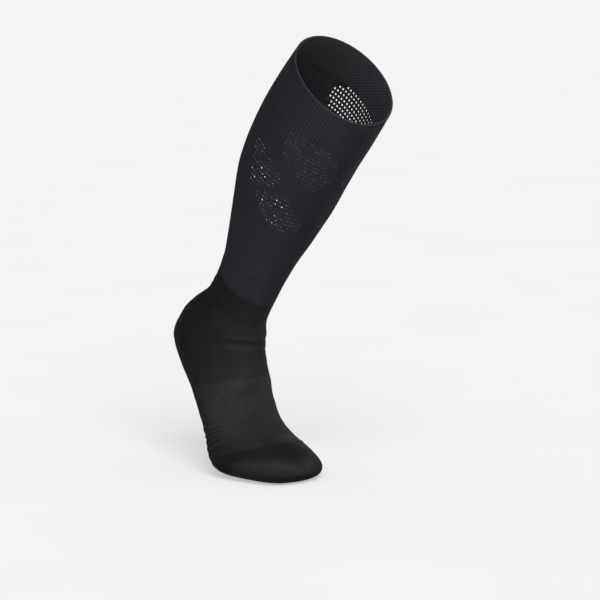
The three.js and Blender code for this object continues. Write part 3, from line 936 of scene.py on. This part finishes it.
edge_thread = thread("grey edge thread", (0.02, 0.021, 0.024), (0.05, 0.052, 0.058))
foot_thread = thread("black foot thread", (0.006, 0.006, 0.0065), (0.024, 0.024, 0.026))
gore_thread = thread("black gore thread", (0.004, 0.004, 0.0043), (0.011, 0.011, 0.012))
print("three threads")

# %% Sew along lines on the cloth
def sew(name, lines, slot, yarn_used, **sizes):
    """Sews along lines on the cloth, each a list of degrees, stations and how far it stands off."""
    points, stands, edges = [], [], []
    for line in lines:
        line = np.array(line, float)
        at = np.linspace(0, len(line) - 1, 8 * len(line))
        around = np.radians(np.interp(at, np.arange(len(line)), line[:, 0]))
        along = np.interp(at, np.arange(len(line)), line[:, 1])
        lift = np.interp(at, np.arange(len(line)), line[:, 2])
        closed = round(line[-1][0] - line[0][0]) == 360
        if closed:
            around, along, lift = around[:-1], along[:-1], lift[:-1]
        normal = outward(around, along)
        first = len(points)
        points += placed(outside(around, along) + lift[:, None] * normal).tolist()
        stands += normal.tolist()
        edges += [(i, i + 1) for i in range(first, len(points) - 1)]
        edges += [(len(points) - 1, first)] if closed else []
    mesh = bpy.data.meshes.new(name)
    mesh.from_pydata(points, edges, [])
    mesh.attributes.new("stand", "FLOAT_VECTOR", "POINT").data.foreach_set("vector", np.ravel(stands))
    make(name, mesh, sewn_line, {"Yarn": yarn_used, **sizes})


RIM_DEPTH = -0.85  # the roll's middle lies in the cuff's wall
rim_line = [(angle, 0.012, RIM_DEPTH) for angle in range(0, 361, 15)]
sew("rim_edge", [rim_line], "leg_knit", edge_thread, **{
    "Cord radius": 0.00095, "Step": 0.0018, "Stitch along": 0.0005, "Stitch across": 0.0006,
    "Stitch height": 0.0011,
})

# %% Link the toe and sew the gores
LINKING_END = 84  # degrees from the shin; the linking sinks into the cloth toward its ends
toe_line = []
for angle in range(-LINKING_END, LINKING_END + 1, 12):
    sunk = 0.6 * max(abs(angle) / LINKING_END - 0.55, 0)
    toe_line.append((angle, 17.32 - toe_dip(abs(angle)), 0.05 - sunk))
sew("toe_linking", [toe_line], "foot_knit", foot_thread, **{
    "Cord radius": 0.00045, "Step": 0.0022, "Stitch along": 0.0005, "Stitch across": 0.0012,
    "Stitch height": 0.00055,
})
half_gores = [
    [(126, 7.75), (119, 8.1), (110, 8.35), (102, 8.6), (92, 8.92), (85, 9.3), (82, 9.75)],
    [(112, 7.55), (104, 7.8), (94, 8.1), (85, 8.44), (78, 8.85), (74, 9.15), (73, 9.5)],
    [(82, 9.95), (82, 10.2), (85, 10.6), (90, 11.0), (96, 11.35)],
    [(90, 10.0), (90, 10.25), (93, 10.6), (98, 10.95), (103, 11.2)],
]
GORE_SUNK = -0.15
gores = [
    [(side * angle, station, GORE_SUNK) for angle, station in line]
    for line in half_gores for side in (-1, 1)
]
sew("heel_gores", gores, "foot_knit", gore_thread, **{
    "Cord radius": 0.00035, "Step": 0.0021, "Stitch along": 0.0006, "Stitch across": 0.0007,
    "Stitch height": 0.00045,
})

# %% [markdown]
# ## The floor and the light
# The stocking stands on a plain pale floor in a white studio. A wide floor and a bright even world
# give the shadowless look of a product picture, and one very broad lamp above the camera adds the
# little modelling that shows the ribs. A weak lamp behind shows the calf and the heel to whoever
# walks around; it stands low and casts no shadow, so that the floor hardly shows it. The world's
# light is dimmer than the world that the camera sees, so that the wall is as pale as the floor.

# %% Lay the floor
FLOOR_REACH = 30
FLOOR_CORNERS = ((-1, -1), (1, -1), (1, 1), (-1, 1))
floor_level = solid_box[0][2] - 0.0002  # a hair under the sole
floor_mesh = bpy.data.meshes.new("floor")
floor_mesh.from_pydata(
    [(x * FLOOR_REACH, y * FLOOR_REACH, floor_level) for x, y in FLOOR_CORNERS], [], [(0, 1, 2, 3)]
)
floor = bpy.data.objects.new("floor", floor_mesh)
bpy.context.collection.objects.link(floor)
paper = bpy.data.materials.new("pale paper")
paper.use_nodes = True
paper.node_tree.nodes.clear()
p = Graph(paper.node_tree)
mottle = p.node("ShaderNodeTexNoise", {}, {
    "Vector": p.node("ShaderNodeTexCoord", output="Object"), "Scale": 5.0, "Detail": 2.0,
})
pale_paper = p.node("ShaderNodeMix", {"data_type": "RGBA"}, {
    "Factor": mottle, "A": (0.54, 0.54, 0.54, 1), "B": (0.58, 0.58, 0.58, 1),
})
p.node("ShaderNodeOutputMaterial", {}, {
    "Surface": p.node("ShaderNodeBsdfPrincipled", {}, {
        "Base Color": pale_paper, "Roughness": 0.9, "Specular IOR Level": 0.0,
        "Emission Color": (1, 1, 1, 1), "Emission Strength": 0.425,
    }),
})
floor_mesh.materials.append(paper)
print("floor at", round(floor_level, 4), "m")

# %% Light the studio
world = bpy.data.worlds.new("studio")
bpy.context.scene.world = world
world.use_nodes = True
world.node_tree.nodes.clear()
w = Graph(world.node_tree)
WORLD_LIGHT, WALL_LIGHT = 0.35, 0.91
seen = w.node("ShaderNodeLightPath", output="Is Camera Ray")
strength = WORLD_LIGHT + (WALL_LIGHT - WORLD_LIGHT) * seen
w.node("ShaderNodeOutputWorld", {}, {
    "Surface": w.node("ShaderNodeBackground", {}, {"Color": (1, 1, 1, 1), "Strength": strength}),
})
bpy.context.scene.view_settings.view_transform = "Standard"


def lamp(name, place, power, **more):
    """A lamp as far off as the sun, which shines from a place toward the stocking."""
    light = bpy.data.lights.new(name, "SUN")
    light.energy = power
    for label, value in more.items():
        setattr(light, label, value)
    lit = bpy.data.objects.new(name, light)
    lit.location = place
    lit.rotation_euler = (Vector((0, 0.1, -0.2)) - Vector(place)).to_track_quat("-Z", "Y").to_euler()
    bpy.context.collection.objects.link(lit)


lamp("softbox", (-1, -1.54, 1.45), 2.2, angle=radians(40))
lamp("back fill", (0.66, 0.85, 0), 0.8, angle=radians(6), use_shadow=False)
print("lamps:", [light.name for light in bpy.data.lights])

# %% [markdown]
# ## Bringing the scene up to date
# The view layer is brought up to date. The cloth has to stay in the solids' box.

# %% Update the view layer
bpy.context.view_layer.update()
